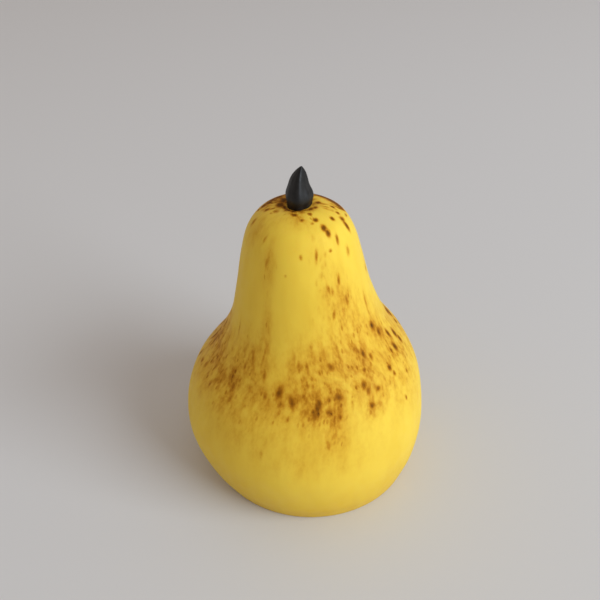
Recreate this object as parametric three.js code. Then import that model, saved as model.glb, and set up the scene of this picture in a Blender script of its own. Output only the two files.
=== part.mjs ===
// A moulded confectionery pear: one solid pear-shaped body that stands on its own flat foot, and a
// separate dark pointed stem that stands in a plain round hole in the crown.
// Millimetres, +Z up. The origin is the centre of the flat foot.

import * as THREE from 'three';

// The flat foot and its small rounded edge.
const FOOT_RADIUS = 34;
const FOOT_EDGE = 0.9;
const FOOT_EDGE_STEPS = 3;

// The stem's shank, the play all round it, and the hole that it stands in.
const STEM_LEAN = -4;
const STEM_SHANK_RADIUS = 3.4;
const STEM_PLAY = 0.3;
const HOLE_RADIUS = STEM_SHANK_RADIUS + STEM_PLAY;
const HOLE_DEPTH = 5;

// The body's outline, from the foot edge to the rim of the stem's hole: the radius of the level
// round section at each height, and how far the middle of that section leans towards +X.
const BODY_OUTLINE = [
  { height: FOOT_EDGE, radius: FOOT_RADIUS + FOOT_EDGE, lean: 0 },
  { height: 8, radius: 37.8, lean: -0.9 },
  { height: 22, radius: 40, lean: -2.1 }, // the belly, the widest section
  { height: 36, radius: 37, lean: -1.4 },
  { height: 47, radius: 30.7, lean: -0.1 }, // the shoulder
  { height: 57, radius: 24.5, lean: -1.2 }, // the waist, where the outline turns hollow
  { height: 68, radius: 20.9, lean: -2.5 },
  { height: 80, radius: 18.1, lean: -3.2 }, // the neck
  { height: 88, radius: 15.6, lean: -3.5 },
  { height: 92.2, radius: 12.7, lean: -3.4 }, // the crown's round edge
  { height: 94.6, radius: 8.5, lean: -3.7 },
  { height: 95.8, radius: HOLE_RADIUS, lean: STEM_LEAN },
];
const RIM_HEIGHT = BODY_OUTLINE[BODY_OUTLINE.length - 1].height;
const HOLE_FLOOR_HEIGHT = RIM_HEIGHT - HOLE_DEPTH;
const BODY_STEPS = 44;
const BODY_SEGMENTS = 64;

// The stem above the crown: a thorn with rounded sides, widest a little above its root. It has
// three soft pinched ridges, and its tip bends slightly towards +X.
const STEM_RISE = 11;
const STEM_BULGE = 0.4;
const STEM_BULGE_AT = 0.2;
const STEM_TAPER_POWER = 2.8;
const STEM_TIP_RADIUS = 0.3;
const STEM_TIP_BEND = 0.7;
const STEM_PINCH = 0.07;
const STEM_RIDGE_ANGLE = THREE.MathUtils.degToRad(-78);
const STEM_STEPS = 12;
const STEM_SEGMENTS = 30;

// The corner points of one level section. A pinch above 0 raises three ridges on it.
function sectionPoints({ height, radius, lean, pinch = 0 }, segments) {
  const points = [];
  for (let i = 0; i < segments; i++) {
    const angle = (2 * Math.PI * i) / segments;
    const reach = radius * (1 + pinch * Math.cos(3 * (angle - STEM_RIDGE_ANGLE)));
    points.push(new THREE.Vector3(lean + reach * Math.cos(angle), reach * Math.sin(angle), height));
  }
  return points;
}

// Stacks level sections into one closed solid, with a flat face across the first and the last.
function stackSections(sections, segments) {
  const points = sections.flatMap((section) => sectionPoints(section, segments));
  const first = sections[0];
  const last = sections[sections.length - 1];
  const bottom = points.push(new THREE.Vector3(first.lean, 0, first.height)) - 1;
  const top = points.push(new THREE.Vector3(last.lean, 0, last.height)) - 1;
  const lastRing = (sections.length - 1) * segments;
  const triangles = [];
  for (let i = 0; i < segments; i++) {
    const next = (i + 1) % segments;
    triangles.push(bottom, next, i);
    triangles.push(top, lastRing + i, lastRing + next);
    for (let ring = 0; ring < lastRing; ring += segments) {
      triangles.push(ring + i, ring + next, ring + segments + i);
      triangles.push(ring + next, ring + segments + next, ring + segments + i);
    }
  }
  const geometry = new THREE.BufferGeometry().setFromPoints(points);
  geometry.setIndex(triangles);
  geometry.computeVertexNormals();
  return geometry;
}

// The foot's flat face and the quarter-round edge that leads up from it.
function footSections() {
  const sections = [];
  for (let step = 0; step < FOOT_EDGE_STEPS; step++) {
    const turn = (Math.PI / 2) * (step / FOOT_EDGE_STEPS);
    sections.push({
      height: FOOT_EDGE * (1 - Math.cos(turn)),
      radius: FOOT_RADIUS + FOOT_EDGE * Math.sin(turn),
      lean: BODY_OUTLINE[0].lean,
    });
  }
  return sections;
}

// The belly, shoulder, neck and crown, on one smooth curve through the outline's places.
function sideSections() {
  const places = BODY_OUTLINE.map(({ height, radius, lean }) => new THREE.Vector3(radius, lean, height));
  const curve = new THREE.CatmullRomCurve3(places, false, 'centripetal');
  return curve.getSpacedPoints(BODY_STEPS).map(({ x, y, z }) => ({ height: z, radius: x, lean: y }));
}

// The stem's shank in the hole, and the thorn above it.
function stemSections() {
  const sections = [{ height: HOLE_FLOOR_HEIGHT + STEM_PLAY, radius: STEM_SHANK_RADIUS, lean: STEM_LEAN }];
  for (let step = 0; step <= STEM_STEPS; step++) {
    const part = step / STEM_STEPS;
    const bulge = STEM_BULGE * Math.sin(Math.PI * Math.min(part / (2 * STEM_BULGE_AT), 1));
    const taper = 1 - part ** STEM_TAPER_POWER;
    sections.push({
      height: RIM_HEIGHT + STEM_RISE * part,
      radius: STEM_TIP_RADIUS + (STEM_SHANK_RADIUS - STEM_TIP_RADIUS) * taper + bulge,
      lean: STEM_LEAN + STEM_TIP_BEND * part ** 4,
      pinch: STEM_PINCH * part,
    });
  }
  return sections;
}

function namedMesh(name, geometry, material) {
  const mesh = new THREE.Mesh(geometry, material);
  mesh.name = name;
  return mesh;
}

const coating = new THREE.MeshStandardMaterial({ color: 0xe9c23c, roughness: 0.55, metalness: 0 });
const darkPaste = new THREE.MeshStandardMaterial({ color: 0x24231f, roughness: 0.45, metalness: 0 });

const holeFloor = { height: HOLE_FLOOR_HEIGHT, radius: HOLE_RADIUS, lean: STEM_LEAN };
const bodySections = [...footSections(), ...sideSections(), holeFloor];

const pear = new THREE.Group();
pear.add(namedMesh('pear_body', stackSections(bodySections, BODY_SEGMENTS), coating));
pear.add(namedMesh('stem', stackSections(stemSections(), STEM_SEGMENTS), darkPaste));

export default pear;
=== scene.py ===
"""Looks for the confectionery pear: a fine-meshed body with a speckled yellow coat, and its dark
pointed stem. Everything is in metres, in the CAD frame. An azimuth is an angle round the pear: 0
faces the camera, 90 is its right-hand side, 180 its back."""

import math

import bpy
import numpy as np
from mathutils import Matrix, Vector, noise


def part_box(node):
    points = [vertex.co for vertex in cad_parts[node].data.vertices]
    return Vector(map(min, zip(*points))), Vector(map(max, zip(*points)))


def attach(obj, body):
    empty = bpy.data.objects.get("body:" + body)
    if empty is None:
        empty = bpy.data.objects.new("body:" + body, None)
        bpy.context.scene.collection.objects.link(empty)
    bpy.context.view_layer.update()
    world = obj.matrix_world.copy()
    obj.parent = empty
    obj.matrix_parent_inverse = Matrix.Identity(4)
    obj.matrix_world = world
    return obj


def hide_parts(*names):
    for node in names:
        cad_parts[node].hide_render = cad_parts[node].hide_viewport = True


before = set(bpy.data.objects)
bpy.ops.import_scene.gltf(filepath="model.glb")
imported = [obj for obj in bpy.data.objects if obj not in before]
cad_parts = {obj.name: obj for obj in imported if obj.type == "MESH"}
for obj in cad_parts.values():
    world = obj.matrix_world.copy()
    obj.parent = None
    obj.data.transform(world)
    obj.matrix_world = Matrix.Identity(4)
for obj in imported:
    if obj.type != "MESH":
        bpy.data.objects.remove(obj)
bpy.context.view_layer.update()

MM = 0.001
FULL_TURN = 2 * math.pi
random = np.random.default_rng(seed=20)

# Reading the CAD nodes: points this close in height are one level section, and sections up to this
# many times as wide as the rim of the stem's hole, but below it, are the hole's floor.
SAME_LEVEL = 0.01 * MM
HOLE_FLOOR_SLACK = 1.01

# The fine body mesh: columns run up the pear, and rows go round it. Rows lie closest together
# where the marks are.
BODY_COLUMNS = 440
BELT_LOW, BELT_HIGH = 26 * MM, 64 * MM
ROW_STEP_BELOW, ROW_STEP_IN_BELT, ROW_STEP_ABOVE = 1.2 * MM, 0.38 * MM, 0.55 * MM
FOOT_ROWS = 10
COAT_UNEVENNESS = 0.24 * MM
COAT_UNEVENNESS_SIZE = 14 * MM
FOOT_FADE = 6 * MM
CROWN_FADE_RADIUS = 12 * MM
UNROLLED_LEAST_RADIUS = 8 * MM
UNROLLED_SHARE = 0.6

# The coat round the stem: it sinks a little on the left, and all round the stem it is pressed in
# where the stem was pushed home. It also runs down beside the stem, out of sight.
SINK_DEPTH = 0.7 * MM
SINK_AWAY = 5.5 * MM
SINK_AZIMUTH = math.radians(-75)
SINK_WIDTH = 5 * MM
DISH_DEPTH = 0.6 * MM
DISH_RADIUS = 3.2 * MM
DISH_WIDTH = 1.8 * MM
LIP_EDGE_DROP = 0.02 * MM
LIP_DROP = 0.2 * MM
SOCKET_RADIUS = 3.2 * MM
SOCKET_DEPTH = 2 * MM

# The stem: its swelling near the crown, its taper and bent tip, its three ridges, one of which
# faces the front, the hollow on its right, and its dents. What is AT a place and has a RISE is
# given in shares of the stem's height over the crown.
STEM_COLUMNS, STEM_ROWS = 96, 70
STEM_LIFT = 0.2 * MM
STEM_BULGE = 0.55 * MM
STEM_BULGE_AT, STEM_BULGE_RISE = 0.18, 0.2
STEM_TAPER_POWER = 3.1
STEM_TIP_RADIUS = 0.2 * MM
STEM_TIP_BEND = 0.7 * MM
STEM_TIP_BEND_POWER = 4
STEM_RIDGES = 3
STEM_PINCH_LOW, STEM_PINCH_HIGH = 0.08, 0.15
STEM_RIDGE_SHARPNESS = 0.03
STEM_RIDGE_AZIMUTH = math.radians(-8)
STEM_HOLLOW = 0.5 * MM
STEM_HOLLOW_AT, STEM_HOLLOW_RISE = 0.58, 0.25
STEM_DENTS = 0.07 * MM
STEM_DENT_SIZE = 2.2 * MM
STEM_DENTS_FADE_RADIUS = 1 * MM

# Clouds of brown airbrushing: azimuth, height in mm, spread in degrees, spread in mm, depth of
# the soft wash, number of small dabs, and how dark those are. They make a belt round the shoulder
# that thins out down the belly, and smears on the neck.
CLOUDS = [
    (-69, 45.5, 11, 5.0, 0.28, 110, 0.25),
    (-45, 44.5, 8, 4.2, 0.24, 60, 0.23),
    (-44, 55, 9, 4.5, 0.19, 30, 0.23),
    (-30, 62, 3, 5.5, 0.16, 8, 0.20),
    (-20, 46, 8, 3.0, 0.20, 18, 0.23),
    (-5, 55, 7, 4.0, 0.28, 18, 0.23),
    (2, 46, 8, 3.2, 0.43, 46, 0.28),
    (11, 52, 5, 2.4, 0.22, 14, 0.28),
    (12, 59, 8, 4.0, 0.13, 14, 0.18),
    (12.5, 41, 3, 4.0, 0.28, 8, 0.28),
    (26, 55.5, 8, 3.4, 0.25, 34, 0.28),
    (38, 51, 8, 5.5, 0.19, 70, 0.35),
    (33, 55, 4, 1.8, 0.20, 10, 0.32),
    (34, 43, 5, 2.5, 0.19, 24, 0.32),
    (10, 35, 14, 5.0, 0.07, 22, 0.20),
    (8, 29, 16, 3.5, 0.05, 14, 0.17),
    (-28, 36, 12, 4.5, 0.12, 18, 0.20),
    (33, 71.5, 11, 4.0, 0.20, 56, 0.28),
    (28, 78, 8, 3.0, 0.02, 26, 0.30),
    (18, 88, 9, 3.5, 0.07, 6, 0.35),
    (38, 66, 7, 5.0, 0.16, 20, 0.25),
    (58, 47, 9, 5.0, 0.16, 36, 0.34),
    (62.5, 60, 6, 4.2, 0.25, 24, 0.32),
    (76, 52, 9, 4.5, 0.18, 40, 0.37),
    (66, 38, 8, 4.0, 0.08, 14, 0.20),
    (98, 47, 12, 5.0, 0.21, 80, 0.34),
    (122, 45, 11, 5.0, 0.25, 80, 0.34),
    (143, 54, 10, 5.0, 0.19, 44, 0.28),
    (152, 43, 9, 4.5, 0.23, 50, 0.34),
    (178, 47, 12, 5.0, 0.29, 90, 0.36),
    (206, 44, 9, 4.5, 0.23, 56, 0.32),
    (224, 52, 11, 5.0, 0.20, 60, 0.32),
    (250, 47, 12, 5.0, 0.26, 90, 0.30),
    (274, 50, 9, 5.0, 0.23, 50, 0.28),
    (160, 73, 13, 6.0, 0.18, 34, 0.25),
    (-32, 83, 4, 4.0, 0.20, 6, 0.20),
    (-62, 90, 12, 3.5, 0.13, 6, 0.30),
    (236, 70, 10, 5.0, 0.13, 24, 0.23),
]

# Single dabs that stand out on the side: azimuth, height, length and width in mm, darkness.
SIDE_DABS = [
    (-78, 41.7, 3.2, 1.3, 0.49),
    (-78, 48.5, 3.2, 1.0, 0.41),
    (-71, 54.2, 3.8, 0.8, 0.37),
    (-68.5, 44.7, 3.2, 1.1, 0.47),
    (-63.5, 40.7, 3.2, 1.2, 0.49),
    (-61, 59.2, 5.8, 0.8, 0.41),
    (-57.5, 43.5, 2.1, 1.1, 0.36),
    (-51.5, 46.7, 2.1, 1.1, 0.34),
    (-47, 44.5, 2.5, 1.7, 0.44),
    (-45.5, 42.0, 3.6, 1.6, 0.42),
    (-44.5, 52.7, 4.4, 1.1, 0.36),
    (-41, 55.4, 4.6, 1.5, 0.43),
    (-35.5, 42.2, 1.3, 1.0, 0.41),
    (-34, 38.0, 2.5, 1.0, 0.33),
    (-31.5, 57.0, 7.4, 1.1, 0.37),
    (-29.5, 51.5, 3.8, 1.1, 0.56),
    (-26.5, 46.5, 2.7, 1.3, 0.56),
    (-20.5, 31.0, 3.4, 1.0, 0.38),
    (-18.8, 48.4, 4.4, 2.2, 0.76),
    (-17, 45.6, 2.4, 1.8, 0.34),
    (-11.3, 46.7, 4.2, 1.9, 0.76),
    (-11.5, 42.2, 1.9, 1.1, 0.56),
    (-7, 55.4, 3.6, 2.0, 0.46),
    (-3.5, 47.2, 2.1, 1.3, 0.52),
    (-1.5, 55.5, 4.2, 1.2, 0.48),
    (3, 46.2, 4.8, 2.2, 0.7),
    (2.5, 44.2, 2.3, 1.9, 0.52),
    (3, 61.2, 2.7, 1.2, 0.42),
    (6, 54.2, 1.7, 1.0, 0.52),
    (9, 47.2, 2.1, 1.3, 0.56),
    (9, 44.2, 2.1, 1.8, 0.54),
    (9.5, 35.5, 3.4, 1.0, 0.42),
    (14.5, 55.0, 2.3, 1.6, 0.67),
    (15, 47.5, 2.1, 2.2, 0.69),
    (14.5, 43.4, 4.0, 1.9, 0.39),
    (14.5, 40.2, 3.2, 1.7, 0.37),
    (22, 56.6, 2.9, 1.0, 0.50),
    (22, 45.2, 4.4, 1.0, 0.40),
    (31, 48.7, 3.2, 1.7, 0.77),
    (33, 43.2, 2.1, 1.7, 0.75),
    (35.5, 52.2, 1.5, 1.3, 0.68),
    (39.5, 46.4, 1.9, 1.6, 0.73),
    (39.5, 55.8, 2.7, 1.6, 0.77),
    (44.5, 54.2, 2.3, 1.2, 0.70),
    (53.5, 49.0, 2.1, 1.7, 0.86),
    (55, 46.9, 1.9, 1.3, 0.68),
    (58, 38.2, 2.3, 1.0, 0.68),
    (58.5, 60.7, 3.8, 2.2, 0.84),
    (63, 57.8, 3.2, 2.4, 0.74),
    (63.5, 51.9, 2.4, 1.2, 0.6),
    (66.5, 44.0, 2.1, 1.0, 0.70),
    (69, 51.2, 3.2, 1.7, 0.92),
    (72, 54.8, 3.6, 1.4, 0.92),
    (79.5, 52.6, 3.4, 1.7, 0.95),
    (80.5, 50.2, 3.0, 1.5, 0.92),
    (98, 55.4, 3.0, 2.8, 0.9),
    (101, 53.6, 3.6, 3.0, 0.9),
    (97, 51.2, 2.6, 1.7, 0.8),
    (-43, 89.8, 3.4, 1.0, 0.39),
    (-34, 84.5, 4.8, 1.0, 0.39),
    (-14.5, 81.7, 0.9, 0.9, 0.39),
    (0, 87.0, 1.5, 0.9, 0.56),
    (15.5, 87.2, 4.2, 0.9, 0.56),
    (23, 77.2, 3.4, 1.1, 0.56),
    (25, 69.5, 2.9, 1.0, 0.54),
    (31.5, 87.7, 0.9, 1.1, 0.73),
    (34.5, 79.2, 3.2, 1.0, 0.60),
    (39.5, 72.5, 3.8, 1.3, 0.55),
    (43.5, 89.7, 2.7, 1.1, 0.69),
    (53, 85.7, 3.2, 1.4, 0.52),
    (14.5, 91.6, 2.4, 1.2, 0.3),
    (18.5, 81.5, 2.6, 1.8, 0.31),
    (21, 75.2, 5.0, 2.0, 0.33),
    (26.5, 76.4, 2.8, 0.9, 0.5),
    (41, 73.8, 5.6, 2.6, 0.36),
    (61, 68.7, 6.2, 1.2, 0.42),
    (82, 75.4, 3.0, 1.8, 0.5),
    (2, 58.7, 7.0, 2.8, 0.34),
    (60.5, 60.4, 4.2, 3.6, 0.4),
    (66, 57.6, 3.4, 3.4, 0.38),
    (38, 54.6, 5.0, 2.4, 0.36),
    (32.5, 47.2, 3.2, 1.8, 0.6),
    (27, 48.9, 5.0, 3.0, 0.38),
]

# Dabs on the crown, some of them painted shade: azimuth, distance from the stem's middle, length
# and width in mm, darkness.
CROWN_DABS_AND_PAINTED_SHADE = [
    # The dabs from here down to the one at azimuth -80 lie on the crown's left, which turns away
    # from the light: they are brown paint and painted shade together.
    (-152, 8.0, 2.2, 2.6, 0.8),
    (-136, 8.6, 2.4, 3.0, 0.95),
    (-122, 9.6, 2.2, 2.6, 0.95),
    (-111, 9.6, 1.7, 2.2, 0.95),
    (-105, 11.4, 1.7, 2.0, 1.0),
    (-101, 12.7, 1.1, 1.4, 0.85),
    (-123, 5.4, 2.2, 2.6, 1.0),
    (-95, 5.6, 2.6, 2.8, 1.0),
    (-74, 4.3, 1.2, 2.6, 1.0),
    (-67, 7.4, 1.9, 2.2, 0.62),
    (-86, 9.6, 2.1, 1.2, 0.85),
    (-68, 9.0, 0.9, 1.0, 0.5),
    (-80, 14.0, 2.8, 1.6, 0.55),
    (-22, 6.0, 1.6, 2.0, 0.42),
    (-13, 6.5, 1.2, 2.0, 1.0),
    (-2, 7.5, 2.0, 2.4, 0.38),
    (3.5, 8.6, 1.1, 1.2, 0.8),
    # Painted shadow: the dabs from here to azimuth 4, and the one at -74 above, lie right at the
    # stem's foot and darken the crown where the stem shades it, with some dark paint in them.
    (-48, 4.3, 1.0, 2.0, 1.0),
    (-20, 4.4, 1.1, 2.0, 1.0),
    (4, 4.2, 0.9, 1.8, 0.95),
    (24, 4.2, 0.8, 1.4, 0.7),
    (9, 5.4, 1.1, 1.6, 0.45),
    (21, 8.3, 0.8, 0.7, 0.5),
    (19, 9.9, 0.9, 1.0, 0.6),
    (25.5, 6.6, 1.1, 1.2, 0.9),
    (28, 9.1, 1.3, 1.5, 1.0),
    (32.5, 11.8, 2.0, 1.6, 1.0),
    (34.5, 13.1, 2.4, 1.4, 0.95),
    (46, 4.6, 1.0, 1.6, 1.0),
    (62, 5.2, 1.1, 1.6, 0.85),
    (57, 10.7, 1.4, 1.3, 0.95),
    (72, 12.4, 1.6, 1.7, 0.9),
    (69.5, 13.9, 3.4, 1.5, 0.9),
    (78.5, 10.9, 1.2, 1.2, 0.85),
    (90.5, 9.4, 1.3, 1.1, 0.95),
    (97, 5.5, 1.6, 1.4, 1.0),
    (100, 12.2, 2.6, 1.8, 0.9),
    (105, 11.7, 3.2, 1.8, 0.95),
    (111, 11.5, 3.8, 2.2, 1.0),
    (118, 10.7, 3.8, 2.2, 1.0),
    (126, 10.6, 4.4, 2.6, 1.0),
    (134, 9.8, 3.6, 2.2, 1.0),
    (143, 10.1, 3.8, 2.6, 1.0),
    (153, 9.7, 3.0, 2.0, 0.95),
]

# Clouds on the back of the crown: azimuth, distance from the stem's middle in mm, spread in
# degrees, spread in mm, depth of the wash, number of small dabs, and how dark those are.
CROWN_CLOUDS = [
    (122, 11.8, 15, 1.3, 0.26, 42, 1.0),
    (150, 9.4, 20, 2.2, 0.16, 30, 0.9),
    (185, 9.6, 22, 2.8, 0.20, 44, 0.85),
    (222, 10.0, 20, 2.4, 0.22, 44, 0.9),
    (248, 8.6, 16, 2.2, 0.18, 30, 0.95),
    (84, 9.0, 12, 2.8, 0.05, 9, 0.6),
    (-10, 8.4, 18, 1.4, 0.13, 8, 0.4),
]
CROWN_RING_WASH = 0.4
CROWN_RING_RADIUS = 4.4 * MM
CROWN_RING_WIDTH = 1.5 * MM

# Bold dabs scattered along the belt where it goes round behind the pear.
BACK_FROM, BACK_TO = 88, 276
BACK_HEIGHT, BACK_SPREAD = 47.5 * MM, 4.5 * MM
BACK_COUNT = 62
BACK_LENGTH, BACK_WIDTH = 2.3 * MM, 1.3 * MM
BACK_FAINTEST, BACK_DARKEST = 0.4, 0.82

# How dabs vary: a small one's usual length and width, the spread of each, and how much dabs lean.
DAB_LENGTH = 2.0 * MM
DAB_WIDTH = 0.9 * MM
DAB_LENGTH_VARIES, DAB_WIDTH_VARIES = 0.4, 0.25
DAB_LEAN = 0.14

# In a cloud, the wash reaches this much further than the dabs, round and up the pear, and the
# faintest dab has this share of the darkest one's darkness.
WASH_SPREADS, WASH_RISES = 1.2, 1.4
FAINTEST_SHARE = 0.3

# The values that nearly all of a noise texture's area lies between, and the one in the middle.
NOISE_RANGE = (0.3, 0.7)
NOISE_MIDDLE = 0.5

# The coat's colours: bare, then under more and more brown paint, then the tints that darken it in
# broad patches and veins, and as painted shade towards the foot, by what share, and the tint of
# its sheen.
PAINT = [
    (0.0, (0.87, 0.618, 0.065, 1.0)),
    (0.2, (0.75, 0.45, 0.039, 1.0)),
    (0.4, (0.61, 0.30, 0.019, 1.0)),
    (0.6, (0.45, 0.185, 0.007, 1.0)),
    (0.8, (0.29, 0.10, 0.003, 1.0)),
    (1.0, (0.09, 0.03, 0.001, 1.0)),
]
DEEPER_YELLOW = (0.93, 0.87, 0.75, 1.0)
# Painted shade: this tint, with the share and top height below, darkens the coat more the nearer
# it is to the foot, for shade that the pale floor's bounced light would otherwise lift.
FOOT_PAINTED_SHADE = (0.78, 0.68, 0.45, 1.0)
DEEPER_YELLOW_SHARE = 0.5
FOOT_PAINTED_SHADE_SHARE = 0.7
FOOT_PAINTED_SHADE_TOP = 24 * MM
SHEEN_YELLOW = (1.0, 0.85, 0.3, 1.0)

# How fine the coat's patterns are, in repeats to the metre, and how much the ones that run up the
# pear are drawn out.
STREAKS, BLOTCHES, DASHES, STIPPLE, RAGGEDNESS = 420, 260, 900, 1000, 1300
PATCHES, VEINS, SATIN, GRAIN = 45, 200, 300, 2600
STREAKY, DASHED, UPRIGHT = (1, 1, 0.22), (1, 1, 0.33), (1, 1, 0.5)

# How much streaks, blotches and dashes deepen or thin the wash, as shares of it, and the values of
# noise that dashes, patches and veins rise between.
STREAK_SWING, BLOTCH_SWING, DASH_SWING = 0.45, 0.35, 0.25
DASH_RANGE, PATCH_RANGE, VEIN_RANGE = (0.35, 0.65), (0.35, 0.7), (0.4, 0.75)

# The stipple has at most one dot in each cell of its pattern. A dot fades out between two
# distances from its middle, in shares of a cell. It shows where the wash, times the first of the
# next two numbers and less the second, is over the cell's own chance. Its depth is in a range.
DOT_EDGE, DOT_CORE = 0.45, 0.2
DOTS_FOR_WASH, DOTS_HELD_BACK = 2.8, 0.3
DOT_DEPTH_RANGE = (0.04, 0.24)

# Noise makes the dabs ragged: more so with their darkness, fully so where that is at the first of
# these, and then by the second. What comes out between the two ends of the crisp range goes from
# bare to the darkest that a dab gets.
RAGGED_FULLY, RAGGED_BY = 0.3, 0.5
CRISP_RANGE = (0.04, 0.92)
DARKEST_DAB = 0.92

# The coat's finish: its satin roughness, how much rougher the deepest brown is and how deep that
# is, its gloss, how much light goes into it and how far in each colour, and its fine grain.
SATIN_RANGE = (0.48, 0.6)
PAINT_ROUGHER_BY, PAINT_FULL = 0.22, 0.8
COAT_SPECULAR = 0.3
COAT_SUBSURFACE = 0.1
COAT_SUBSURFACE_RADIUS = (0.9, 0.45, 0.1)
COAT_SUBSURFACE_SCALE = 1.2 * MM
GRAIN_STRENGTH, GRAIN_HEIGHT = 0.12, 0.05 * MM

# The stem's paste: its two tones, how fine its drag lines and its tones are, in repeats to the
# metre, how much its drag lines are drawn out upwards, and its finish.
BLACK_PASTE = (0.004, 0.004, 0.0035, 1.0)
GREY_PASTE = (0.01, 0.0095, 0.0085, 1.0)
DRAG_LINES, TONES = 1500, 500
DRAWN_OUT = (1, 1, 0.15)
PASTE_ROUGHNESS_RANGE = (0.38, 0.5)
PASTE_SPECULAR = 0.3
DRAG_STRENGTH, DRAG_HEIGHT = 0.25, 0.08 * MM

# The studio: a plain floor, even light from the room, and one soft window. Its azimuth and
# elevation are in degrees, its distance and the length of its side in metres, its power in watts.
FLOOR_SIZE = 6.0
FLOOR_COLOUR = (0.67, 0.665, 0.635, 1.0)
FLOOR_ROUGHNESS = 0.6
ROOM_COLOUR = (1.0, 0.90, 0.87, 1.0)
ROOM_STRENGTH = 0.46
WINDOW_AZIMUTH, WINDOW_ELEVATION = 60, 26
WINDOW_DISTANCE, WINDOW_SIDE = 2.4, 1.64
WINDOW_POWER = 52
WINDOW_TINT = (0.90, 1.0, 1.13)
WINDOW_FACES_HEIGHT = 45 * MM

# The camera: its place, how far it looks down, its lens and sensor in mm, and the nearest that it
# sees.
CAMERA_PLACE = (-3.7 * MM, -180.3 * MM, 187.0 * MM)
CAMERA_LOOKS_DOWN = math.radians(34.79)
LENS = 42
SENSOR_WIDTH = 36
NEAREST_SEEN = 10 * MM


def azimuths_round(columns):
    """The azimuths of evenly spaced columns, in radians, from the front round to the right."""
    return FULL_TURN * np.arange(columns) / columns


def outward(azimuth):
    """The level direction from the pear's middle towards an azimuth in radians."""
    return Vector((math.sin(azimuth), -math.cos(azimuth), 0))


def level_sections(node):
    """The CAD node's level round sections, lowest first: rows of radius, middle x and height."""
    points = np.array([vertex.co[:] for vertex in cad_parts[node].data.vertices])
    points = points[points[:, 2].argsort()]
    new_level = np.flatnonzero(np.diff(points[:, 2]) > SAME_LEVEL) + 1
    sections = []
    for level in np.split(points, new_level):
        left, right = level[:, 0].min(), level[:, 0].max()
        sections.append(((right - left) / 2, (right + left) / 2, level[:, 2].mean()))
    return np.array(sections)


def body_outline():
    """The body's sections from its foot to the rim of the stem's hole, less the hole's floor."""
    sections = level_sections("pear_body")
    rim = sections[-1]
    hole_floor = (sections[:, 0] < rim[0] * HOLE_FLOOR_SLACK) & (sections[:, 2] < rim[2])
    return sections[~hole_floor]


def distance_along(places):
    """How far along the line of places each place lies. The lean is left out."""
    steps = np.diff(places[:, [0, 2]], axis=0)
    return np.concatenate([[0], np.cumsum(np.linalg.norm(steps, axis=1))])


def smooth_places(places, wanted):
    """Places on a smooth curve through the given ones, at the wanted distances along it. Between
    two given places the curve is a cubic that has the line's slope at both of them."""
    along = distance_along(places)
    slopes = np.gradient(places, along, axis=0)
    before = np.clip(np.searchsorted(along, wanted) - 1, 0, len(along) - 2)
    after = before + 1
    span = (along[after] - along[before])[:, None]
    part = (wanted - along[before])[:, None] / span
    return (
        places[before] * (2 * part**3 - 3 * part**2 + 1)
        + places[after] * (3 * part**2 - 2 * part**3)
        + slopes[before] * span * (part**3 - 2 * part**2 + part)
        + slopes[after] * span * (part**3 - part**2)
    )


def row_distances(outline):
    """Distances up the outline for the fine rows, closest together in the belt of marks."""
    along = distance_along(outline)
    wanted = [0.0]
    while wanted[-1] < along[-1]:
        height = np.interp(wanted[-1], along, outline[:, 2])
        if height < BELT_LOW:
            step = ROW_STEP_BELOW
        elif height < BELT_HIGH:
            step = ROW_STEP_IN_BELT
        else:
            step = ROW_STEP_ABOVE
        wanted.append(wanted[-1] + step)
    wanted[-1] = along[-1]
    return np.array(wanted)


class Marks:
    """Brown paint on the coat, with painted shade on the crown's left and painted shadow round the
    stem's foot, held as two fields over the body's rows and columns: a soft wash, and the dabs on
    top of it. Both go from 0 for bare coat to 1 for the darkest paint."""

    def __init__(self, rows, along):
        self.rows = rows
        self.along = along
        self.azimuths = azimuths_round(BODY_COLUMNS)
        self.dabs = np.zeros((len(rows), BODY_COLUMNS))
        self.wash = np.zeros((len(rows), BODY_COLUMNS))
        self.belly = rows[:, 0].argmax()

    def at_height(self, height):
        """How far up the outline a height is."""
        return np.interp(height, self.rows[:, 2], self.along)

    def at_radius(self, radius):
        """How far up the outline, above the belly, the body has a radius."""
        return np.interp(-radius, -self.rows[self.belly :, 0], self.along[self.belly :])

    def near(self, azimuth, middle, reach):
        """The rows within reach of a place, and their points' distances across and up from it."""
        low, high = np.searchsorted(self.along, (middle - reach, middle + reach))
        turn = (self.azimuths - azimuth + math.pi) % FULL_TURN - math.pi
        across = turn[None, :] * self.rows[low:high, 0][:, None]
        up = (self.along[low:high] - middle)[:, None] + np.zeros_like(across)
        return slice(low, high), across, up

    def add_dab(self, azimuth, middle, length, width, lean, darkness):
        """One soft-edged dab, at half its darkness at the edge of its length and width."""
        rows, across, up = self.near(math.radians(azimuth), middle, length + width)
        sideways = across * math.cos(lean) + up * math.sin(lean)
        lengthways = up * math.cos(lean) - across * math.sin(lean)
        away = np.hypot(sideways / (width / 2), lengthways / (length / 2))
        self.dabs[rows] = np.maximum(self.dabs[rows], darkness * 0.5 ** (away**2))

    def add_wash(self, azimuth, middle, spread, rise, depth):
        """A soft wash that fades out over its spread round the pear and its rise up it."""
        turn = (self.azimuths - math.radians(azimuth) + math.pi) % FULL_TURN - math.pi
        across = (turn / math.radians(spread))[None, :]
        up = ((self.along - middle) / rise)[:, None]
        self.wash = 1 - (1 - self.wash) * (1 - depth * np.exp(-(across**2 + up**2) / 2))


def add_random_dab(marks, azimuth, middle, length, width, darkness):
    """A dab near a usual length and width, that leans a little."""
    length = random.lognormal(math.log(length), DAB_LENGTH_VARIES)
    width = random.lognormal(math.log(width), DAB_WIDTH_VARIES)
    marks.add_dab(azimuth, middle, length, width, random.normal(0, DAB_LEAN), darkness)


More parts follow.
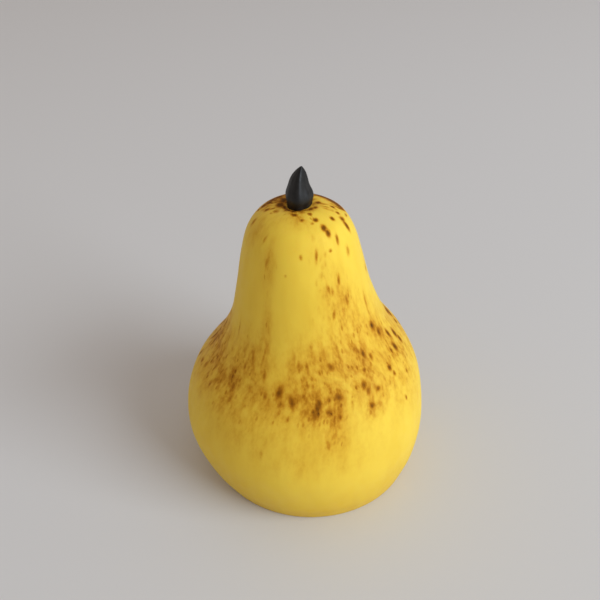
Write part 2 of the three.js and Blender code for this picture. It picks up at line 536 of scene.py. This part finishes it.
def paint_cloud(marks, azimuth, middle, spread, rise, depth, count, darkness):
    """A soft wash with small dabs scattered over it."""
    marks.add_wash(azimuth, middle, spread * WASH_SPREADS, rise * WASH_RISES * MM, depth)
    for _ in range(count):
        place = random.normal(azimuth, spread), random.normal(middle, rise * MM)
        share = random.uniform(FAINTEST_SHARE, 1.0)
        add_random_dab(marks, *place, DAB_LENGTH, DAB_WIDTH, darkness * share)


def paint_marks(rows, along):
    """All the marks on the coat: washes and small dabs in clouds, then the dabs that stand out."""
    marks = Marks(rows, along)
    for azimuth, height, *cloud in CLOUDS:
        paint_cloud(marks, azimuth, marks.at_height(height * MM), *cloud)
    for azimuth, radius, *cloud in CROWN_CLOUDS:
        paint_cloud(marks, azimuth, marks.at_radius(radius * MM), *cloud)
    for azimuth, height, length, width, darkness in SIDE_DABS:
        lean = random.normal(0, DAB_LEAN)
        middle = marks.at_height(height * MM)
        marks.add_dab(azimuth, middle, length * MM, width * MM, lean, darkness)
    # The crown's dabs include painted shade on its left and painted shadow round the stem's foot.
    for azimuth, radius, length, width, darkness in CROWN_DABS_AND_PAINTED_SHADE:
        lean = random.normal(0, DAB_LEAN)
        middle = marks.at_radius(radius * MM)
        marks.add_dab(azimuth, middle, length * MM, width * MM, lean, darkness)
    for _ in range(BACK_COUNT):
        azimuth = random.uniform(BACK_FROM, BACK_TO)
        middle = marks.at_height(random.normal(BACK_HEIGHT, BACK_SPREAD))
        darkness = random.uniform(BACK_FAINTEST, BACK_DARKEST)
        add_random_dab(marks, azimuth, middle, BACK_LENGTH, BACK_WIDTH, darkness)
    from_ring = (rows[:, 0] - CROWN_RING_RADIUS) / CROWN_RING_WIDTH
    ring_wash = CROWN_RING_WASH * np.exp(-(from_ring**2))[:, None]
    marks.wash = 1 - (1 - marks.wash) * (1 - ring_wash)
    return marks


def settle_round_stem(points, stem_x):
    """Sinks the coat round the stem, by changing the points themselves."""
    across, forward = points[..., 0] - stem_x, points[..., 1]
    away_from_sink = np.hypot(
        across - SINK_AWAY * math.sin(SINK_AZIMUTH), forward + SINK_AWAY * math.cos(SINK_AZIMUTH)
    )
    away_from_dish = (np.hypot(across, forward) - DISH_RADIUS).clip(0)
    points[..., 2] -= SINK_DEPTH * np.exp(-((away_from_sink / SINK_WIDTH) ** 2))
    points[..., 2] -= DISH_DEPTH * np.exp(-((away_from_dish / DISH_WIDTH) ** 2))


def coat_points(rows):
    """The body's side points, row by row, with the coat's slight unevenness."""
    points = np.empty((len(rows), BODY_COLUMNS, 3))
    for i, (radius, middle, height) in enumerate(rows):
        fade = min(1.0, height / FOOT_FADE, radius / CROWN_FADE_RADIUS)
        for j, azimuth in enumerate(azimuths_round(BODY_COLUMNS)):
            out = outward(azimuth)
            place = Vector((middle, 0, height)) + out * radius
            swell = noise.noise(place / COAT_UNEVENNESS_SIZE) * COAT_UNEVENNESS * fade
            points[i, j] = place + out * swell
    return points


def ring(radius, middle, height):
    """One level row of points."""
    azimuths = azimuths_round(BODY_COLUMNS)
    x = middle + radius * np.sin(azimuths)
    y = -radius * np.cos(azimuths)
    return np.stack([x, y, np.full(BODY_COLUMNS, height)], axis=-1)


def closed_grid(name, grid):
    """A closed smooth mesh from rows of points that go round, with a point across each end."""
    rows, columns = grid.shape[:2]
    points = np.concatenate([grid.reshape(-1, 3), [grid[0].mean(axis=0)], [grid[-1].mean(axis=0)]])
    bottom, top = rows * columns, rows * columns + 1
    last = (rows - 1) * columns
    faces = []
    for j in range(columns):
        following = (j + 1) % columns
        faces.append((bottom, following, j))
        faces.append((top, last + j, last + following))
        for row in range(0, last, columns):
            faces.append((row + j, row + following, row + columns + following, row + columns + j))
    mesh = bpy.data.meshes.new(name)
    mesh.from_pydata(points.tolist(), [], faces)
    mesh.shade_smooth()
    piece = bpy.data.objects.new(name, mesh)
    bpy.context.scene.collection.objects.link(piece)
    return piece


def add_field(piece, name, rows_before, field):
    """Stores a field of the side rows as a point attribute, 0 on every other point."""
    values = np.zeros(len(piece.data.vertices), np.float32)
    start = rows_before * BODY_COLUMNS
    values[start : start + field.size] = field.ravel()
    piece.data.attributes.new(name, "FLOAT", "POINT").data.foreach_set("value", values)


def add_unrolled_place(piece, rows_before, rows, along):
    """Stores where each side point would be if the outline were straightened. Patterns laid out
    in these places run up the pear from the foot to the stem."""
    azimuths = azimuths_round(BODY_COLUMNS)
    places = np.zeros((len(piece.data.vertices), 3), np.float32)
    start = rows_before * BODY_COLUMNS
    side = places[start : start + len(rows) * BODY_COLUMNS].reshape(-1, BODY_COLUMNS, 3)
    radius = (UNROLLED_LEAST_RADIUS + UNROLLED_SHARE * rows[:, 0])[:, None]
    side[..., 0] = radius * np.sin(azimuths)
    side[..., 1] = -radius * np.cos(azimuths)
    side[..., 2] = along[:, None]
    attribute = piece.data.attributes.new("unrolled", "FLOAT_VECTOR", "POINT")
    attribute.data.foreach_set("vector", places.ravel())


def make_body():
    """The body: a flat foot, the coated side, and a lip that closes on the stem."""
    outline = body_outline()
    along = row_distances(outline)
    side = smooth_places(outline, along)
    foot_radius = side[0, 0]
    foot_steps = np.linspace(0, 1, FOOT_ROWS + 1)[1:-1]
    foot = [ring(foot_radius * step, side[0, 1], side[0, 2]) for step in foot_steps]
    rim_radius, stem_x, rim_height = side[-1]
    lip = [
        ring((rim_radius + SOCKET_RADIUS) / 2, stem_x, rim_height - LIP_EDGE_DROP),
        ring(SOCKET_RADIUS, stem_x, rim_height - LIP_DROP),
    ]
    socket = ring(SOCKET_RADIUS, stem_x, rim_height - SOCKET_DEPTH)
    coat = np.concatenate([coat_points(side), lip])
    settle_round_stem(coat, stem_x)
    grid = np.concatenate([foot, coat, [socket]])
    body = closed_grid("pear_coated_body", grid)
    marks = paint_marks(side, along)
    add_field(body, "dabs", len(foot), marks.dabs)
    add_field(body, "wash", len(foot), marks.wash)
    add_unrolled_place(body, len(foot), side, along)
    return body


def make_stem():
    """The stem: a pinched thorn from the socket's floor up to its bent tip."""
    low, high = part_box("stem")
    shank_radius, stem_x, _ = level_sections("stem")[0]
    rim_height = level_sections("pear_body")[-1][2]
    heights = [low.z + STEM_LIFT, *np.linspace(rim_height, high.z, STEM_ROWS)]
    rows = []
    for height in heights:
        part = max(0.0, (height - rim_height) / (high.z - rim_height))
        bulge = STEM_BULGE * math.exp(-(((part - STEM_BULGE_AT) / STEM_BULGE_RISE) ** 2))
        hollow = STEM_HOLLOW * math.exp(-(((part - STEM_HOLLOW_AT) / STEM_HOLLOW_RISE) ** 2))
        taper = 1 - part**STEM_TAPER_POWER
        radius = STEM_TIP_RADIUS + (shank_radius - STEM_TIP_RADIUS) * taper + bulge
        middle = Vector((stem_x + STEM_TIP_BEND * part**STEM_TIP_BEND_POWER, 0, height))
        pinch = STEM_PINCH_LOW + (STEM_PINCH_HIGH - STEM_PINCH_LOW) * part
        dents = STEM_DENTS * min(1, radius / STEM_DENTS_FADE_RADIUS)
        row = []
        for azimuth in azimuths_round(STEM_COLUMNS):
            out = outward(azimuth)
            turn = STEM_RIDGES * (azimuth - STEM_RIDGE_AZIMUTH)
            ridges = pinch * math.cos(turn) + STEM_RIDGE_SHARPNESS * math.cos(2 * turn)
            reach = radius * (1 + ridges)
            point = middle + out * (reach - hollow * max(0.0, math.sin(azimuth)))
            row.append(point + out * noise.noise(point / STEM_DENT_SIZE) * dents)
        rows.append(row)
    return closed_grid("pointed_stem", np.array(rows))


class Nodes:
    """A short way to write a node material."""

    def __init__(self, name):
        self.material = bpy.data.materials.new(name)
        self.material.use_nodes = True
        self.tree = self.material.node_tree
        self.shader = self.tree.nodes["Principled BSDF"]

    def add(self, kind, settings=None, **inputs):
        """A node with its settings, and its inputs as values or other outputs. An input goes by
        its own name, or as i0, i1 and so on by its number."""
        node = self.tree.nodes.new("ShaderNode" + kind)
        for key, value in (settings or {}).items():
            setattr(node, key, value)
        for key, value in inputs.items():
            socket = int(key[1:]) if key[1:].isdigit() else key
            self.feed(node.inputs[socket], value)
        return node

    def feed(self, socket, value):
        """Links another node's output to the socket, or gives the socket a value."""
        if isinstance(value, bpy.types.NodeSocket):
            self.tree.links.new(value, socket)
        else:
            socket.default_value = value

    def set(self, name, value):
        """Sets or links one of the shader's own sockets."""
        self.feed(self.shader.inputs[name], value)

    def math(self, operation, a, b):
        """One step of arithmetic on two values or outputs."""
        return self.add("Math", {"operation": operation}, i0=a, i1=b).outputs[0]

    def attribute(self, name, output="Fac"):
        """One of the mesh's own fields, as a number or as a Vector."""
        return self.add("Attribute", {"attribute_name": name}).outputs[output]

    def place(self, where, stretch):
        """A place in metres, scaled by stretch along x, y and z."""
        return self.add("Mapping", i0=where, Scale=stretch).outputs[0]

    def noise(self, place, scale, detail=3, roughness=0.6):
        """A noise texture of scale repeats to the metre."""
        node = self.add("TexNoise", Vector=place, Scale=scale, Detail=detail, Roughness=roughness)
        return node.outputs["Fac"]

    def between(self, value, low, high, to_low=0.0, to_high=1.0):
        """Value from low to high, turned smoothly into to_low to to_high."""
        settings = {"interpolation_type": "SMOOTHSTEP"}
        node = self.add("MapRange", settings, i0=value, i1=low, i2=high, i3=to_low, i4=to_high)
        return node.outputs[0]

    def ramp(self, value, stops):
        """Value turned into the colours of the stops, which are pairs of place and colour. A new
        stop may start anywhere, as it is then moved to its place."""
        node = self.add("ValToRGB", i0=value)
        elements = node.color_ramp.elements
        while len(elements) < len(stops):
            elements.new(0.5)
        for element, (place, stop_colour) in zip(elements, stops):
            element.position = place
            element.color = stop_colour
        return node.outputs[0]

    def mix(self, share, a, b, blend="MIX"):
        """Colour a turning into colour b, or blended with it. A mix node's colours are its
        inputs 6 and 7 and its output 2."""
        settings = {"data_type": "RGBA", "blend_type": blend}
        return self.add("Mix", settings, i0=share, i6=a, i7=b).outputs[2]

    def set_bump(self, height, strength, distance):
        """Gives the surface a fine relief that the mesh is too coarse for."""
        node = self.add("Bump", Strength=strength, Distance=distance, Height=height)
        self.set("Normal", node.outputs["Normal"])


def streaky_wash(nodes, streaky, upright):
    """The soft wash, broken up by streaks, blotches and dashes."""
    streaks = nodes.noise(streaky, STREAKS)
    blotches = nodes.noise(upright, BLOTCHES)
    dashes = nodes.noise(upright, DASHES, detail=2)
    streaks = nodes.between(streaks, *NOISE_RANGE, 1 - STREAK_SWING, 1 + STREAK_SWING)
    blotches = nodes.between(blotches, *NOISE_RANGE, 1 - BLOTCH_SWING, 1 + BLOTCH_SWING)
    dashes = nodes.between(dashes, *DASH_RANGE, 1 - DASH_SWING, 1 + DASH_SWING)
    texture = nodes.math("MULTIPLY", nodes.math("MULTIPLY", streaks, blotches), dashes)
    return nodes.math("MULTIPLY", nodes.attribute("wash"), texture)


def fine_stipple(nodes, dashed):
    """Small upright dots, more of them where the wash is deeper."""
    cells = nodes.add("TexVoronoi", {"feature": "F1"}, Vector=dashed, Scale=STIPPLE)
    luck = nodes.add("SeparateColor", Color=cells.outputs["Color"])
    dot = nodes.between(cells.outputs["Distance"], DOT_EDGE, DOT_CORE)
    share = nodes.math("MULTIPLY", nodes.attribute("wash"), DOTS_FOR_WASH)
    share = nodes.math("SUBTRACT", share, DOTS_HELD_BACK)
    chosen = nodes.math("LESS_THAN", luck.outputs["Red"], share)
    depth = nodes.between(luck.outputs["Green"], 0, 1, *DOT_DEPTH_RANGE)
    return nodes.math("MULTIPLY", nodes.math("MULTIPLY", dot, chosen), depth)


def ragged_dabs(nodes, upright):
    """The dabs, with ragged edges and dark middles."""
    raggedness = nodes.math("SUBTRACT", nodes.noise(upright, RAGGEDNESS), NOISE_MIDDLE)
    dabs = nodes.attribute("dabs")
    at_dabs = nodes.between(dabs, 0, RAGGED_FULLY, 0, RAGGED_BY)
    ragged = nodes.math("ADD", dabs, nodes.math("MULTIPLY", raggedness, at_dabs))
    return nodes.between(ragged, *CRISP_RANGE, 0, DARKEST_DAB)


def coat_material():
    """Satin yellow coat with brown airbrushing: streaky wash, fine stipple and soft dabs, and
    painted shade towards the foot.
    """
    nodes = Nodes("speckled_coat")
    solid = nodes.add("TexCoord").outputs["Object"]
    unrolled = nodes.attribute("unrolled", "Vector")
    streaky = nodes.place(unrolled, STREAKY)
    upright = nodes.place(unrolled, UPRIGHT)

    wash = streaky_wash(nodes, streaky, upright)
    stipple = fine_stipple(nodes, nodes.place(unrolled, DASHED))
    bare = nodes.math("SUBTRACT", 1.0, wash)
    dabs = nodes.math("MULTIPLY", ragged_dabs(nodes, upright), bare)
    paint = nodes.math("ADD", nodes.math("ADD", wash, stipple), dabs)

    patches = nodes.noise(solid, PATCHES, roughness=0.5)
    veins = nodes.noise(streaky, VEINS, detail=2, roughness=0.5)
    patches = nodes.between(patches, *PATCH_RANGE, 0, DEEPER_YELLOW_SHARE)
    veins = nodes.between(veins, *VEIN_RANGE, 0, DEEPER_YELLOW_SHARE)
    deeper = nodes.math("ADD", patches, veins)
    coat = nodes.mix(deeper, nodes.ramp(paint, PAINT), DEEPER_YELLOW, "MULTIPLY")
    height = nodes.add("SeparateXYZ", Vector=unrolled).outputs["Z"]
    # Painted shade: the coat is darkened more the nearer it is to the foot.
    low = nodes.between(height, 0, FOOT_PAINTED_SHADE_TOP, FOOT_PAINTED_SHADE_SHARE, 0)
    nodes.set("Base Color", nodes.mix(low, coat, FOOT_PAINTED_SHADE, "MULTIPLY"))

    satin = nodes.between(nodes.noise(solid, SATIN, roughness=0.5), *NOISE_RANGE, *SATIN_RANGE)
    rougher = nodes.between(paint, 0, PAINT_FULL, 0, PAINT_ROUGHER_BY)
    nodes.set("Roughness", nodes.math("ADD", satin, rougher))
    nodes.set("Specular IOR Level", COAT_SPECULAR)
    nodes.set("Specular Tint", SHEEN_YELLOW)
    nodes.set("Subsurface Weight", COAT_SUBSURFACE)
    nodes.set("Subsurface Radius", COAT_SUBSURFACE_RADIUS)
    nodes.set("Subsurface Scale", COAT_SUBSURFACE_SCALE)
    nodes.set_bump(nodes.noise(solid, GRAIN), GRAIN_STRENGTH, GRAIN_HEIGHT)
    return nodes.material


def stem_material():
    """Near-black paste with a satin sheen and fine drag lines."""
    nodes = Nodes("dark_paste")
    where = nodes.add("TexCoord").outputs["Object"]
    lines = nodes.noise(nodes.place(where, DRAWN_OUT), DRAG_LINES, roughness=0.5)
    tone = nodes.between(nodes.noise(where, TONES, detail=2, roughness=0.5), *NOISE_RANGE)
    nodes.set("Base Color", nodes.mix(tone, BLACK_PASTE, GREY_PASTE))
    nodes.set("Roughness", nodes.between(lines, *NOISE_RANGE, *PASTE_ROUGHNESS_RANGE))
    nodes.set("Specular IOR Level", PASTE_SPECULAR)
    nodes.set_bump(lines, DRAG_STRENGTH, DRAG_HEIGHT)
    return nodes.material


def make_floor():
    """A plain pale floor at the pear's foot."""
    half = FLOOR_SIZE / 2
    corners = [(-half, -half, 0), (half, -half, 0), (half, half, 0), (-half, half, 0)]
    mesh = bpy.data.meshes.new("floor")
    mesh.from_pydata(corners, [], [(0, 1, 2, 3)])
    floor = bpy.data.objects.new("floor", mesh)
    bpy.context.scene.collection.objects.link(floor)
    nodes = Nodes("pale_floor")
    nodes.set("Base Color", FLOOR_COLOUR)
    nodes.set("Roughness", FLOOR_ROUGHNESS)
    floor.data.materials.append(nodes.material)


def make_window():
    """A square soft light that faces the middle of the pear."""
    light = bpy.data.lights.new("window", "AREA")
    light.energy = WINDOW_POWER
    light.size = WINDOW_SIDE
    light.color = WINDOW_TINT
    window = bpy.data.objects.new("window", light)
    bpy.context.scene.collection.objects.link(window)
    azimuth, elevation = math.radians(WINDOW_AZIMUTH), math.radians(WINDOW_ELEVATION)
    towards = outward(azimuth) * math.cos(elevation) + Vector((0, 0, math.sin(elevation)))
    window.location = Vector((0, 0, WINDOW_FACES_HEIGHT)) + towards * WINDOW_DISTANCE
    window.rotation_euler = towards.to_track_quat("Z", "Y").to_euler()


def light_the_scene():
    """Even light from the room all round, and the window's."""
    world = bpy.data.worlds.new("room")
    world.use_nodes = True
    background = world.node_tree.nodes["Background"]
    background.inputs["Color"].default_value = ROOM_COLOUR
    background.inputs["Strength"].default_value = ROOM_STRENGTH
    bpy.context.scene.world = world
    make_window()
    bpy.context.scene.view_settings.view_transform = "Standard"


def make_camera():
    """A camera in front of the pear and above it, which looks level across it and down."""
    camera = bpy.data.cameras.new("camera")
    camera.sensor_width = SENSOR_WIDTH
    camera.lens = LENS
    camera.clip_start = NEAREST_SEEN
    holder = bpy.data.objects.new("camera", camera)
    holder.location = CAMERA_PLACE
    holder.rotation_euler = (math.pi / 2 - CAMERA_LOOKS_DOWN, 0, 0)
    bpy.context.scene.collection.objects.link(holder)
    bpy.context.scene.camera = holder


def main():
    """The two visible pieces, each in the place of its CAD node, and the studio round them."""
    body = make_body()
    body.data.materials.append(coat_material())
    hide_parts("pear_body")
    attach(body, "root")

    stem = make_stem()
    stem.data.materials.append(stem_material())
    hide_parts("stem")
    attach(stem, "root")

    make_floor()
    light_the_scene()
    make_camera()


main()
